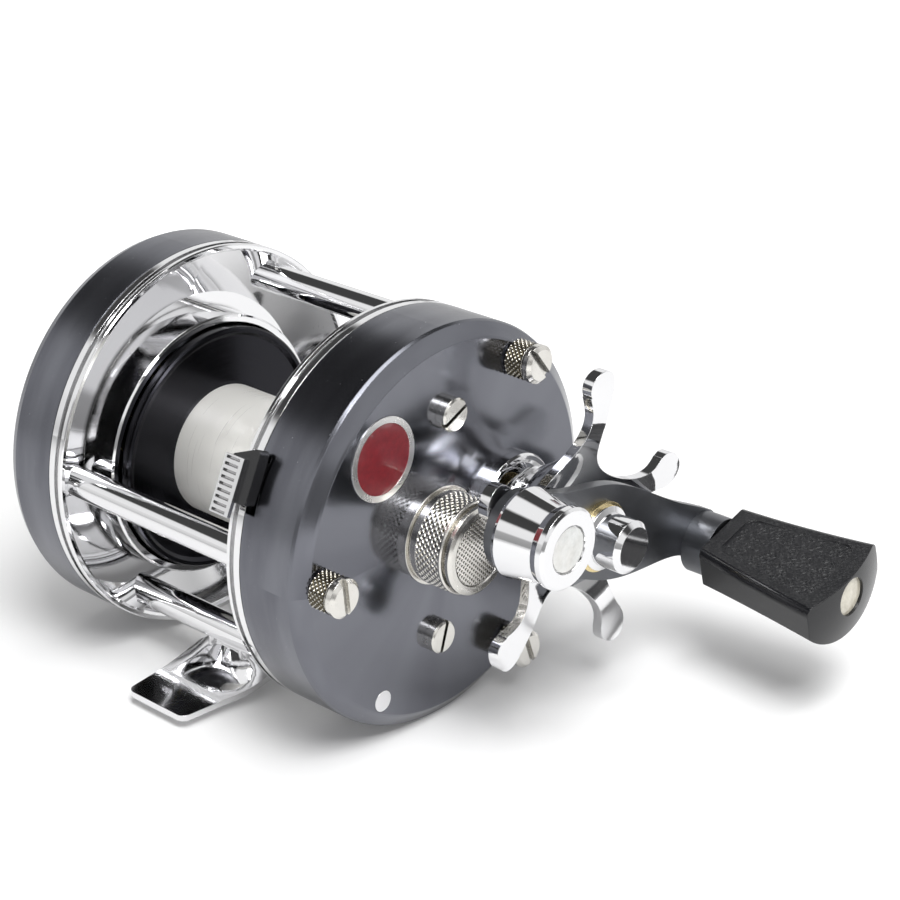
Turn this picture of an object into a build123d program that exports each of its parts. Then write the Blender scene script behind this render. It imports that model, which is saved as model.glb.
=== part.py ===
"""Round baitcasting reel: chrome frame, two grey cups, spool, gear train, star drag and power handle.

Millimetres. X runs along the spool axle, with the handle on the +X side. Y points forwards, up
the rod, and Z up. The origin is the middle of the foot's underside. Heights written with
PLATE_Z are measured from the common axis of the two round side plates.
"""
from build123d import *
from math import acos, atan2, cos, degrees, hypot, pi, radians, sin, sqrt, tan
import os

# ---------------------------------------------------------------- driving dimensions
PLATE_R = 33.0        # both side plates
PLATE_Z = 31.5        # axis of the side plates above the foot's underside
RING_IN = 19.0        # inner edge of each frame ring, from the middle plane
RING_OUT = 21.9       # outer edge, where a cup begins
CUP_GAP = 0.15        # seam between a frame ring and its cup
GEAR_CUP_DEPTH = 12.4
PALM_CUP_DEPTH = 11.1
WALL = 1.4            # cup wall
FACE_T = 1.5          # cup face thickness

PILLAR_R = 2.5
PILLAR_INSET = 4.5    # pillar axes, in from the plates' rim
PILLAR_AT = {"pillar_top": 58, "pillar_rear": 178, "pillar_rear_low": 237, "pillar_front_low": 298}
SCREW_AT = {"thumb_screw_top": 58, "thumb_screw_rear": 178, "thumb_screw_front": 298}
SCREW_HEAD_R = 3.1
KNURL_DEPTH = 0.25    # the knurled bands are this much smaller
SHANK_R = 1.25

SPOOL_Y = -2.5        # spool axis, a little behind the plate axis
ARBOR_R = 11.1
FLANGE_IN, FLANGE_OUT = 14.0, 16.2
LIP_WALL = 1.2        # frame lip around each spool flange
LIP_GAP = 0.4         # between the lip and the flange
PILLAR_GAP = 1.1      # between the lip and the nearest pillar
AXLE_R = 1.5

MODULE = 0.5
GEAR_TEETH, PINION_TEETH = 55, 11
DRIVE_Z = -0.3

STAR_TIP_R, STAR_ANGLE, STAR_ARMS = 25.4, 5.8, 5
ARM_REACH = 14.2      # rear face of the handle arm, out from the drive collar
ARM_T = 2.1
ARM_ANGLE = -22.3     # knob side of the arm, from +Y towards +Z
KNOB_D, WEIGHT_D = 29.4, 20.1   # knob and counterweight, from the drive axis
GRIP_L = 24.4
BUTTON_ANGLE = 154    # thumb button, on the rim of the gear-side plate
FIT = 0.05            # radial clearance of a running fit

# ---------------------------------------------------------------- worked out from them
FACE_X = RING_OUT + GEAR_CUP_DEPTH        # outer face of the gear-side cup
BACK_X = -RING_OUT - PALM_CUP_DEPTH       # outer face of the palm-side cup
PILLAR_PCR = PLATE_R - PILLAR_INSET
LIP_R = PILLAR_PCR - PILLAR_R + SPOOL_Y - PILLAR_GAP - LIP_WALL
FLANGE_R = LIP_R - LIP_GAP
LIP_X = FLANGE_OUT - 0.2
CENTRE_GAP = MODULE * (GEAR_TEETH + PINION_TEETH) / 2
DRIVE_Y = SPOOL_Y + sqrt(CENTRE_GAP**2 - DRIVE_Z**2)
COLLAR_X = FACE_X + 1.9                   # front of the drive collar
ARM_BACK = COLLAR_X + ARM_REACH
FRONT = ARM_BACK + ARM_T                  # front face of the handle arm
SCREW_TIP = FACE_X + 5.4
GRIP_IN = FRONT + 5.1
GRIP_OUT = GRIP_IN + GRIP_L


def across(x, y=0.0, z=0.0):
    """Plane square to the axles at x: sketch axes +Y and +Z, extruding towards +X."""
    return Plane(origin=(x, y, PLATE_Z + z), x_dir=(0, 1, 0), z_dir=(1, 0, 0))


def turn(points, y=0.0, z=0.0, mode=Mode.ADD):
    """Revolve an outline of (x, radius) points about the axle line through y, z."""
    with BuildSketch(Plane(origin=(0, y, PLATE_Z + z), x_dir=(1, 0, 0), z_dir=(0, -1, 0))) as outline:
        with BuildLine():
            Polyline(*points, close=True)
        make_face()
    revolve(outline.sketch, axis=Axis((0, y, PLATE_Z + z), (1, 0, 0)), mode=mode)


def rod(x0, x1, radius, y=0.0, z=0.0, mode=Mode.ADD):
    """Round bar along X between two stations."""
    with BuildSketch(across(x0, y, z)) as disc:
        Circle(radius)
    extrude(disc.sketch, amount=x1 - x0, mode=mode)


def tube(x0, x1, outer, inner, y=0.0, z=0.0):
    """Ring or sleeve along X between two stations."""
    with BuildSketch(across(x0, y, z)) as ring:
        Circle(outer)
        Circle(inner, mode=Mode.SUBTRACT)
    extrude(ring.sketch, amount=x1 - x0)


def polar(radius, angle, y=0.0, z=0.0):
    """Point at an angle from +Y towards +Z, as (y, z) from the plate axis."""
    return y + radius * cos(radians(angle)), z + radius * sin(radians(angle))


def save(builder, name):
    builder.part.label = name
    export_step(builder.part, f"parts/{name}.step")


os.makedirs("parts", exist_ok=True)
KNOB_Y, KNOB_Z = polar(KNOB_D, ARM_ANGLE, DRIVE_Y, DRIVE_Z)
WEIGHT_Y, WEIGHT_Z = polar(WEIGHT_D, ARM_ANGLE + 180, DRIVE_Y, DRIVE_Z)

# ================================================================ frame
CREASE_X, CREASE_R = RING_OUT + 1.7, LIP_R + 2.7      # bottom of the dished face
RING_BACK = CREASE_X + 1.2
PILLAR_END = RING_BACK - 0.6              # pillars pass through the frame rings to here
DISH_IN = LIP_R + SPOOL_Y - 1.2
GROOVE_X, GROOVE_END, GROOVE_DEPTH = RING_IN + 0.8, RING_IN + 1.7, 0.6
BEAD = 0.2                                # rolled inner corner of the rim
RING_OUTLINE = [(RING_OUT, PLATE_R), (GROOVE_END, PLATE_R), (GROOVE_END, PLATE_R - GROOVE_DEPTH),
                (GROOVE_X, PLATE_R - GROOVE_DEPTH), (GROOVE_X, PLATE_R), (RING_IN + BEAD, PLATE_R),
                (RING_IN, PLATE_R - BEAD), (RING_IN, PLATE_R - 4 * BEAD), (RING_IN + 2 * BEAD, PLATE_R - 6 * BEAD),
                (CREASE_X, CREASE_R), (CREASE_X, DISH_IN), (RING_BACK, DISH_IN), (RING_BACK, CREASE_R + 0.3),
                (RING_OUT, PLATE_R - 3.4)]


def frame_ring(name, side):
    """Dished plate with a grooved rim, a raised lip round the spool and four pillar holes."""
    with BuildPart() as ring:
        turn([(side * x, r) for x, r in RING_OUTLINE])
        turn([(side * LIP_X, LIP_R), (side * RING_BACK, LIP_R), (side * RING_BACK, LIP_R + LIP_WALL),
              (side * (LIP_X + 0.3), LIP_R + LIP_WALL), (side * LIP_X, LIP_R + LIP_WALL - 0.3)], SPOOL_Y)
        rod(side * (LIP_X - 1), side * (RING_BACK + 1), LIP_R, SPOOL_Y, mode=Mode.SUBTRACT)
        for angle in PILLAR_AT.values():
            y, z = polar(PILLAR_PCR, angle)
            rod(side * (RING_IN - 1), side * (RING_BACK + 1), PILLAR_R, y, z, mode=Mode.SUBTRACT)
    save(ring, name)


frame_ring("frame_ring_palm", -1)
frame_ring("frame_ring_gear", 1)

# Pillars tie the rings together. Three take a thumb screw at the gear end and the fourth runs
# on as a stud that ends flush in the cup's face. All take a cup screw at the palm end, and the
# two low ones take the foot's rivets from below.
CUP_SCREW_R, STUD_R = 1.1, 1.75
FOOT_RIVET_X, FOOT_RIVET_R = 3.6, 1.2
SCREW_DEPTH = 9.0
for name, angle in PILLAR_AT.items():
    y, z = polar(PILLAR_PCR, angle)
    with BuildPart() as pillar:
        rod(-PILLAR_END, PILLAR_END, PILLAR_R, y, z)
        rod(-PILLAR_END, -PILLAR_END + 6, CUP_SCREW_R, y, z, mode=Mode.SUBTRACT)
        if angle in SCREW_AT.values():
            rod(PILLAR_END - SCREW_DEPTH, PILLAR_END, SHANK_R + FIT, y, z, mode=Mode.SUBTRACT)
        else:
            rod(PILLAR_END, FACE_X, STUD_R, y, z)
        if name.endswith("low"):
            with Locations((-FOOT_RIVET_X, y, PLATE_Z + z - 2), (FOOT_RIVET_X, y, PLATE_Z + z - 2)):
                Cylinder(FOOT_RIVET_R, 4, mode=Mode.SUBTRACT)
    save(pillar, name)

# ---------------------------------------------------------------- foot
FOOT_T = 1.1
FOOT_REAR, FOOT_FRONT = -32.4, 32.3
TONGUE_W, SADDLE_W = 13.2, 17.0
TONGUE_IN = 8.5       # the flat tongues end this far outside the low pillars
REAR_Y, REAR_Z = polar(PILLAR_PCR, PILLAR_AT["pillar_rear_low"])
NEAR_Y, NEAR_Z = polar(PILLAR_PCR, PILLAR_AT["pillar_front_low"])
SEAT = 0.4            # the saddle is let into each low pillar by this much
REAR_TOP = PLATE_Z + REAR_Z - PILLAR_R + SEAT
FRONT_TOP = PLATE_Z + NEAR_Z - PILLAR_R + SEAT


def arch(y, half, crown, edge):
    """Section of the foot's plate at y: crown is the top in the middle, edge the top at the sides."""
    with BuildSketch(Plane(origin=(0, y, 0), x_dir=(1, 0, 0), z_dir=(0, -1, 0))) as section:
        with BuildLine():
            ThreePointArc((-half, edge), (0, crown), (half, edge))
            Line((half, edge), (half, edge - FOOT_T))
            ThreePointArc((half, edge - FOOT_T), (0, crown - FOOT_T), (-half, edge - FOOT_T))
            Line((-half, edge - FOOT_T), (-half, edge))
        make_face()
    return section.sketch


# The saddle is a tunnel along the rod. It rises from the tongues in a smooth sweep.
LIFT = 0.02
REAR_ROOT, FRONT_ROOT = REAR_Y - TONGUE_IN, NEAR_Y + TONGUE_IN
with BuildPart() as foot:
    for tip, root in ((FOOT_REAR, REAR_ROOT), (FOOT_FRONT, FRONT_ROOT)):
        with BuildSketch() as tongue:
            with BuildLine():
                Polyline((-TONGUE_W / 2, tip), (TONGUE_W / 2, tip), (TONGUE_W / 2 + 0.9, root),
                         (-TONGUE_W / 2 - 0.9, root), close=True)
            make_face()
            ends = tongue.vertices().sort_by(lambda v: abs(v.Y))[-2:]
            fillet(ends, 1.6)
        extrude(amount=FOOT_T)
    side = SADDLE_W / 2
    loft([arch(REAR_ROOT, TONGUE_W / 2 + 0.9, FOOT_T + LIFT, FOOT_T),
          arch(REAR_Y - 5.0, side - 0.4, FOOT_T + 0.8, FOOT_T + 0.1),
          arch(REAR_Y, side, REAR_TOP, FOOT_T + 1.0)])
    loft([arch(REAR_Y, side, REAR_TOP, FOOT_T + 1.0), arch(NEAR_Y, side, FRONT_TOP, FOOT_T + 1.0)])
    loft([arch(NEAR_Y, side, FRONT_TOP, FOOT_T + 1.0),
          arch(NEAR_Y + 5.0, side - 0.4, FOOT_T + 0.8, FOOT_T + 0.1),
          arch(FRONT_ROOT, TONGUE_W / 2 + 0.9, FOOT_T + LIFT, FOOT_T)])
    for y, z in ((REAR_Y, REAR_Z), (NEAR_Y, NEAR_Z)):
        rod(-SADDLE_W, SADDLE_W, PILLAR_R, y, z, mode=Mode.SUBTRACT)
        with Locations((-FOOT_RIVET_X, y, 4), (FOOT_RIVET_X, y, 4)):
            Cylinder(FOOT_RIVET_R, 12, mode=Mode.SUBTRACT)
save(foot, "foot")

# The rivets' peened ends stand a little proud under the arch.
with BuildPart() as foot_rivets:
    for y, z in ((REAR_Y, REAR_TOP), (NEAR_Y, FRONT_TOP)):
        for x in (-FOOT_RIVET_X, FOOT_RIVET_X):
            with Locations((x, y, z - FOOT_T - 1.4)):
                Cylinder(FOOT_RIVET_R, FOOT_T + 3.4, align=(Align.CENTER, Align.CENTER, Align.MIN))
save(foot_rivets, "foot_rivets")

# ================================================================ cups
CUP_IN = RING_OUT + CUP_GAP
BORE_R = PLATE_R - WALL
BUSH_R = 4.6
CAP_COLLAR_R, CAP_COLLAR_X = 6.3, FACE_X + 4.1    # threaded collar under the tension cap
BEARING_R = 4.0
BRIDGE_SCREWS = ((-0.6, 19.9), (-3.4, -17.1))
BUTTON_SLOT_W = 9.0
BADGE_Y, BADGE_Z = polar(PLATE_R - 10.5, 131.1)
BADGE_R, BADGE_RING_W, BADGE_DEPTH = 6.65, 1.0, 0.5
SHAFT_HOLE = SHANK_R + 0.35

with BuildPart() as gear_cup:
    turn([(CUP_IN, PLATE_R), (CUP_IN, BORE_R), (FACE_X - FACE_T, BORE_R), (FACE_X - FACE_T, 0),
          (FACE_X, 0), (FACE_X, PLATE_R - 2.6), (FACE_X - 0.25, PLATE_R - 2.2), (FACE_X - 1.7, PLATE_R - 0.25),
          (FACE_X - 2.2, PLATE_R)])
    rod(FACE_X, CAP_COLLAR_X, CAP_COLLAR_R, SPOOL_Y)
    rod(FACE_X - 2, FACE_X + 1, BUSH_R, DRIVE_Y, DRIVE_Z, mode=Mode.SUBTRACT)
    rod(FACE_X - 2, CAP_COLLAR_X - 1.2, BEARING_R, SPOOL_Y, mode=Mode.SUBTRACT)
    rod(FACE_X - 2, CAP_COLLAR_X + 1, AXLE_R + 0.5, SPOOL_Y, mode=Mode.SUBTRACT)
    rod(FACE_X - BADGE_DEPTH, FACE_X + 1, BADGE_R, BADGE_Y, BADGE_Z, mode=Mode.SUBTRACT)
    for y, z in BRIDGE_SCREWS:
        rod(FACE_X - 3, FACE_X + 1, 1.2, y, z, mode=Mode.SUBTRACT)
    for angle in SCREW_AT.values():
        y, z = polar(PILLAR_PCR, angle)
        rod(FACE_X - 3, FACE_X + 1, SHAFT_HOLE, y, z, mode=Mode.SUBTRACT)
    rod(FACE_X - 3, FACE_X + 1, STUD_R + FIT, REAR_Y, REAR_Z, mode=Mode.SUBTRACT)
    with Locations(Plane(origin=(CUP_IN, *polar(PLATE_R, BUTTON_ANGLE, 0, PLATE_Z)),
                         x_dir=(1, 0, 0), z_dir=(0, *polar(1, BUTTON_ANGLE)))):
        Box(2 * 1.9, BUTTON_SLOT_W, 8, mode=Mode.SUBTRACT)
save(gear_cup, "gear_cup")

CLICK_Z = 15.0
PALM_BEARING = (BACK_X + 1.0, BACK_X + 3.6)
with BuildPart() as palm_cup:
    turn([(-CUP_IN, PLATE_R), (-CUP_IN, BORE_R), (BACK_X + FACE_T, BORE_R), (BACK_X + FACE_T, 0),
          (BACK_X, 0), (BACK_X, PLATE_R - 3.4), (BACK_X + 0.35, PLATE_R - 1.8), (BACK_X + 1.2, PLATE_R - 0.6),
          (BACK_X + 2.6, PLATE_R)])
    tube(BACK_X, BACK_X + 4.0, 6.0, BEARING_R, SPOOL_Y)
    rod(BACK_X - 1, BACK_X + 4.0, BEARING_R, SPOOL_Y, mode=Mode.SUBTRACT)
    for angle in PILLAR_AT.values():
        y, z = polar(PILLAR_PCR, angle)
        rod(BACK_X - 1, BACK_X + 3, CUP_SCREW_R + 0.2, y, z, mode=Mode.SUBTRACT)
    with BuildSketch(across(BACK_X - 1, SPOOL_Y, CLICK_Z - 1.1)) as click_slot:
        SlotCenterToCenter(3.6, 2.6, rotation=90)
    extrude(click_slot.sketch, amount=3, mode=Mode.SUBTRACT)
save(palm_cup, "palm_cup")

with BuildPart() as palm_cup_screws:
    for angle in PILLAR_AT.values():
        y, z = polar(PILLAR_PCR, angle)
        rod(BACK_X, -PILLAR_END + 5, CUP_SCREW_R, y, z)
        turn([(BACK_X, 0), (BACK_X, 2.4), (BACK_X - 0.6, 2.4), (BACK_X - 1.1, 1.7), (BACK_X - 1.1, 0)], y, z)
        with Locations((BACK_X - 1.1, y, PLATE_Z + z)):
            Box(1.0, 6, 0.6, mode=Mode.SUBTRACT)
save(palm_cup_screws, "palm_cup_screws")

with BuildPart() as palm_bearing_cap:
    turn([(BACK_X, 0), (BACK_X, 7.2), (BACK_X - 0.8, 7.2), (BACK_X - 1.6, 6.2), (BACK_X - 1.6, 0)], SPOOL_Y)
    rod(BACK_X, PALM_BEARING[0] - 0.02, BEARING_R - 0.02, SPOOL_Y)
    with Locations((BACK_X - 1.6, SPOOL_Y, PLATE_Z)):
        Box(1.4, 16, 1.6, mode=Mode.SUBTRACT)
save(palm_bearing_cap, "palm_bearing_cap")

# Slotted screws that hold the gear bridge from outside.
BRIDGE_X, BRIDGE_T = RING_BACK + 0.4, 1.2
BRIDGE_TOP = BRIDGE_X + BRIDGE_T
with BuildPart() as bridge_screws:
    for (y, z), turned_to in zip(BRIDGE_SCREWS, (24, 73)):
        rod(FACE_X - 5.5, FACE_X, 1.0, y, z)
        turn([(FACE_X, 0), (FACE_X, 2.7), (FACE_X + 1.6, 2.7), (FACE_X + 1.9, 2.4), (FACE_X + 1.9, 0)], y, z)
        with BuildSketch(across(FACE_X + 1.0, y, z)) as slot:
            Rectangle(7, 0.7, rotation=turned_to)
        extrude(slot.sketch, amount=2, mode=Mode.SUBTRACT)
save(bridge_screws, "bridge_screws")

with BuildPart() as badge_ring:
    tube(FACE_X - BADGE_DEPTH, FACE_X + 0.15, BADGE_R, BADGE_R - BADGE_RING_W, BADGE_Y, BADGE_Z)
save(badge_ring, "badge_ring")
with BuildPart() as badge_disc:
    rod(FACE_X - BADGE_DEPTH, FACE_X + 0.05, BADGE_R - BADGE_RING_W, BADGE_Y, BADGE_Z)
save(badge_disc, "badge_disc")

CAP_R = 7.55
with BuildPart() as cap_seat_ring:
    tube(FACE_X, FACE_X + 0.3, 8.0, CAP_COLLAR_R, SPOOL_Y)
save(cap_seat_ring, "cap_seat_ring")

SHAFT_R = 2.5
COLLAR_R = 8.45
with BuildPart() as drive_collar:
    turn([(FACE_X, BUSH_R), (FACE_X, COLLAR_R), (COLLAR_X - 0.4, COLLAR_R), (COLLAR_X, COLLAR_R - 0.3),
          (COLLAR_X, COLLAR_R - 1.0), (COLLAR_X - 0.6, COLLAR_R - 1.6), (COLLAR_X - 0.6, BUSH_R)],
         DRIVE_Y, DRIVE_Z)
save(drive_collar, "drive_collar")

with BuildPart() as drive_bushing:
    tube(FACE_X - FACE_T, COLLAR_X - 0.6, BUSH_R, SHAFT_R + FIT, DRIVE_Y, DRIVE_Z)
save(drive_bushing, "drive_bushing")

# ================================================================ spool
with BuildPart() as spool_arbor:
    tube(-FLANGE_IN, FLANGE_IN, ARBOR_R, ARBOR_R - 1.6, SPOOL_Y)
    tube(-FLANGE_IN, FLANGE_IN, 3.2, AXLE_R, SPOOL_Y)
    for side in (-1, 1):
        tube(side * (FLANGE_IN - 2.0), side * FLANGE_IN, ARBOR_R, AXLE_R, SPOOL_Y)
save(spool_arbor, "spool_arbor")


def flange(name, side):
    """Black side of the spool, with a rolled rim standing towards the line."""
    with BuildPart() as plate:
        turn([(side * FLANGE_IN, AXLE_R), (side * FLANGE_OUT, AXLE_R), (side * FLANGE_OUT, FLANGE_R - 0.3),
              (side * (FLANGE_OUT - 0.3), FLANGE_R), (side * (FLANGE_IN + 0.2), FLANGE_R),
              (side * (FLANGE_IN - 0.1), FLANGE_R - 0.3), (side * (FLANGE_IN - 0.1), FLANGE_R - 0.9),
              (side * (FLANGE_IN + 0.5), FLANGE_R - 1.5), (side * FLANGE_IN, ARBOR_R + 0.6)], SPOOL_Y)
    save(plate, name)


flange("spool_flange_palm", -1)
flange("spool_flange_gear", 1)

PIN_X, PIN_R = RING_BACK + 1.1, 0.5
with BuildPart() as spool_axle:
    rod(PALM_BEARING[0] + 0.4, FACE_X + 2.5, AXLE_R, SPOOL_Y)
    chamfer(spool_axle.faces().filter_by(Axis.X).edges(), 0.3)
    with Locations(Location((PIN_X, SPOOL_Y, PLATE_Z))):
        Cylinder(PIN_R, 10, mode=Mode.SUBTRACT)
save(spool_axle, "spool_axle")

with BuildPart() as clutch_pin:
    with Locations(Location((PIN_X, SPOOL_Y, PLATE_Z))):
        Cylinder(PIN_R, 5.0)
save(clutch_pin, "clutch_pin")


def bearing(name, x0, x1):
    """Shielded ball bearing, with a shield let into each face."""
    middle = (BEARING_R + AXLE_R) / 2
    with BuildPart() as ring:
        tube(x0, x1, BEARING_R, AXLE_R + FIT, SPOOL_Y)
        for x in (x0, x1 - 0.2):
            with BuildSketch(across(x, SPOOL_Y)) as shield:
                Circle(middle + 0.6)
                Circle(middle - 0.6, mode=Mode.SUBTRACT)
            extrude(shield.sketch, amount=0.2, mode=Mode.SUBTRACT)
    save(ring, name)


bearing("spool_bearing_palm", *PALM_BEARING)
bearing("spool_bearing_gear", FACE_X - 0.1, FACE_X + 2.1)

BRAKE_X = BACK_X + 5.6
with BuildPart() as brake_carrier:
    tube(BRAKE_X, BRAKE_X + 2.0, 3.2, AXLE_R, SPOOL_Y)
    with Locations((BRAKE_X + 1.0, SPOOL_Y, PLATE_Z)):
        with Locations((0, 0, 5.3), (0, 0, -5.3)):
            Cylinder(0.45, 5.6)
save(brake_carrier, "brake_carrier")

BLOCK_Z = 6.0
for name, side in (("brake_block_upper", 1), ("brake_block_lower", -1)):
    with BuildPart() as block_part:
        with Locations((BRAKE_X + 1.0, SPOOL_Y, PLATE_Z + side * BLOCK_Z)):
            Cylinder(1.0, 2.2)
            Cylinder(0.45 + FIT, 3, mode=Mode.SUBTRACT)
    save(block_part, name)

with BuildPart() as brake_ring:
    tube(BACK_X + FACE_T, BACK_X + 8.4, 10.2, 9.2, SPOOL_Y)
    with Locations((BACK_X + 3.8, SPOOL_Y, PLATE_Z + 9.7)):
        Box(5.2, 4.4, 3, mode=Mode.SUBTRACT)     # notch for the click pawl
save(brake_ring, "brake_ring")

CLICK_WHEEL_X = BACK_X + 4.0
CLICK_TEETH = 8
with BuildPart() as click_wheel:
    with BuildSketch(across(CLICK_WHEEL_X + 0.2, SPOOL_Y)) as teeth:
        Circle(2.6)
        with PolarLocations(0, CLICK_TEETH, start_angle=90 + 180 / CLICK_TEETH):
            with Locations((2.9, 0)):
                Rectangle(1.4, 0.9)
        Circle(AXLE_R, mode=Mode.SUBTRACT)
    extrude(amount=1.0)
save(click_wheel, "click_wheel")

# The click button slides down towards the axle and carries the pawl between the wheel's teeth.
with BuildPart() as click_slide:
    with BuildSketch(across(BACK_X - 1.5, SPOOL_Y, CLICK_Z)) as pad:
        RectangleRounded(5.0, 5.0, 1.2)
    extrude(amount=1.2)
    with Locations(*[(BACK_X - 1.5, SPOOL_Y, PLATE_Z + CLICK_Z + 1.3 * k) for k in (-1, 0, 1)]):
        Box(0.6, 3.8, 0.45)
    with BuildSketch(across(CLICK_WHEEL_X + 0.3, SPOOL_Y)) as pawl:
        with BuildLine():
            Polyline((-0.35, 4.9), (0.35, 4.9), (0.9, 6.9), (1.6, 9.2), (1.6, CLICK_Z + 1.2),
                     (-1.6, CLICK_Z + 1.2), (-1.6, 9.2), (-0.9, 6.9), close=True)
        make_face()
    extrude(amount=0.8)
    rod(BACK_X - 0.5, CLICK_WHEEL_X + 0.3, 1.0, SPOOL_Y, CLICK_Z)
save(click_slide, "click_slide")

# ================================================================ gear train
GEAR_X, GEAR_T = BRIDGE_X + 2.0, 2.2
MESH_GEAR = degrees(atan2(-DRIVE_Z, SPOOL_Y - DRIVE_Y))      # from the drive axis to the spool axis
MESH_PINION = MESH_GEAR + 180


def involute(radius, base):
    """Polar angle of the involute at a radius, zero on the base circle."""
    if radius <= base:
        return 0.0
    roll = acos(base / radius)
    return tan(roll) - roll


def gear_face(teeth, tip, root, at, slack=0.035):
    """Spur gear outline with involute flanks, one tooth centred on the angle `at` in degrees."""
    pitch = MODULE * teeth / 2
    base = pitch * cos(radians(20))
    half = pi / teeth / 2 + involute(pitch, base) - slack / pitch
    radii = [root] + [base + (tip - base) * k / 4 for k in range(5)]
    flank = [(r, half - involute(r, base)) for r in sorted(radii)]
    points = []
    for tooth in range(teeth):
        middle = radians(at) + 2 * pi * tooth / teeth
        for r, a in flank:
            points.append((r * cos(middle - a), r * sin(middle - a)))
        for r, a in reversed(flank):
            points.append((r * cos(middle + a), r * sin(middle + a)))
    with BuildSketch() as face:
        with BuildLine():
            Polyline(*points, close=True)
        make_face()
    return face.sketch


GEAR_SHAFT_R = 2.0
SHOULDER_X = FACE_X - 1.9     # where the drive shaft steps up to its outer size
with BuildPart() as main_gear:
    with BuildSketch(across(GEAR_X, DRIVE_Y, DRIVE_Z)):
        add(gear_face(GEAR_TEETH, GEAR_TEETH * MODULE / 2 + 0.3, GEAR_TEETH * MODULE / 2 - 0.55, MESH_GEAR))
        Circle(GEAR_SHAFT_R, mode=Mode.SUBTRACT)
        with PolarLocations(10.4, 6):
            Circle(1.6, mode=Mode.SUBTRACT)
    extrude(amount=GEAR_T)
save(main_gear, "main_gear")

PINION_END, TEETH_X, TEETH_END = BRIDGE_X, GEAR_X - 0.5, GEAR_X + GEAR_T + 0.5
FORK_GROOVE, PINION_TIP = TEETH_END + 0.7, TEETH_END + 1.2
PINION_HUB_R = 2.3        # slim enough to slide past the main gear's teeth
with BuildPart() as pinion:
    with BuildSketch(across(TEETH_X, SPOOL_Y)):
        add(gear_face(PINION_TEETH, PINION_TEETH * MODULE / 2 + 0.4, PINION_TEETH * MODULE / 2 - 0.5,
                      MESH_PINION + 180 / PINION_TEETH))
    extrude(amount=TEETH_END - TEETH_X)
    rod(PINION_END, TEETH_X, PINION_HUB_R, SPOOL_Y)
    rod(TEETH_END, FORK_GROOVE, 2.0, SPOOL_Y)
    rod(FORK_GROOVE, PINION_TIP, 2.9, SPOOL_Y)
    rod(PINION_END, PINION_TIP, AXLE_R + FIT, SPOOL_Y, mode=Mode.SUBTRACT)
    with Locations((PINION_END + 0.6, SPOOL_Y, PLATE_Z)):
        Box(1.4, 1.2, 8, mode=Mode.SUBTRACT)
save(pinion, "pinion")

YOKE_POST_Z, YOKE_POST_R = 8.6, 0.9
YOKE_X, YOKE_T = TEETH_END + 0.15, 0.45
with BuildPart() as clutch_yoke:
    with BuildSketch(across(YOKE_X, SPOOL_Y)):
        with BuildLine():
            Polyline((3.4, -4.5), (2.2, -10.6), (-2.2, -10.6), (-4.6, -5.0), (-9.5, 0.5), (-10.6, 6.4),
                     (-6.6, 6.4), (-2.2, 10.6), (2.2, 10.6), (3.4, 4.5), close=True)
        make_face()
        Circle(2.15, mode=Mode.SUBTRACT)
        with Locations((4, 0)):
            Rectangle(8, 4.3, mode=Mode.SUBTRACT)
        with Locations((0, YOKE_POST_Z), (0, -YOKE_POST_Z)):
            Circle(YOKE_POST_R + FIT, mode=Mode.SUBTRACT)
    extrude(amount=YOKE_T)
save(clutch_yoke, "clutch_yoke")

# Two coil springs on the yoke's posts push the yoke back towards the spool.
SPRING_R, SPRING_WIRE, SPRING_TURNS = 1.3, 0.1, 2.5
SPRING_X, SPRING_END = YOKE_X + YOKE_T, FACE_X - FACE_T
with BuildPart() as yoke_springs:
    for z in (-YOKE_POST_Z, YOKE_POST_Z):
        rise = SPRING_END - SPRING_X - 2 * SPRING_WIRE
        base = Plane(origin=(SPRING_X + SPRING_WIRE, SPOOL_Y, PLATE_Z + z), x_dir=(0, 1, 0), z_dir=(1, 0, 0))
        coil = base.location * Helix(rise / SPRING_TURNS, rise, SPRING_R)
        with BuildSketch(Plane(origin=coil @ 0, z_dir=coil % 0)):
            Circle(SPRING_WIRE)
        sweep(path=coil)
save(yoke_springs, "yoke_springs")

DOG_Y, DOG_Z = polar(16.4, 52, DRIVE_Y, DRIVE_Z)
DOG_POST_R = 0.9
RATCHET_X = GEAR_X + GEAR_T + 1.0
with BuildPart() as gear_bridge:
    with BuildSketch(across(BRIDGE_X)):
        with Locations((DRIVE_Y, DRIVE_Z)):
            Circle(6.0)
        with Locations((SPOOL_Y, 0)):
            Circle(11.6)
        with Locations((DOG_Y, DOG_Z)):
            Circle(2.6)
        with Locations(*BRIDGE_SCREWS):
            Circle(3.4)
        make_hull()
        with Locations((SPOOL_Y, 0)):
            Circle(3.2, mode=Mode.SUBTRACT)
        with Locations((DRIVE_Y, DRIVE_Z)):
            Circle(GEAR_SHAFT_R + FIT, mode=Mode.SUBTRACT)
    extrude(amount=BRIDGE_T)
    for y, z in BRIDGE_SCREWS:
        rod(BRIDGE_TOP, FACE_X - FACE_T, 2.3, y, z)
        rod(FACE_X - 5.5, FACE_X - FACE_T, 1.0, y, z, mode=Mode.SUBTRACT)
    for z in (-YOKE_POST_Z, YOKE_POST_Z):
        rod(BRIDGE_TOP, FACE_X - FACE_T, YOKE_POST_R, SPOOL_Y, z)
    rod(BRIDGE_TOP, RATCHET_X + 1.4, DOG_POST_R, DOG_Y, DOG_Z)
save(gear_bridge, "gear_bridge")

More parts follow.
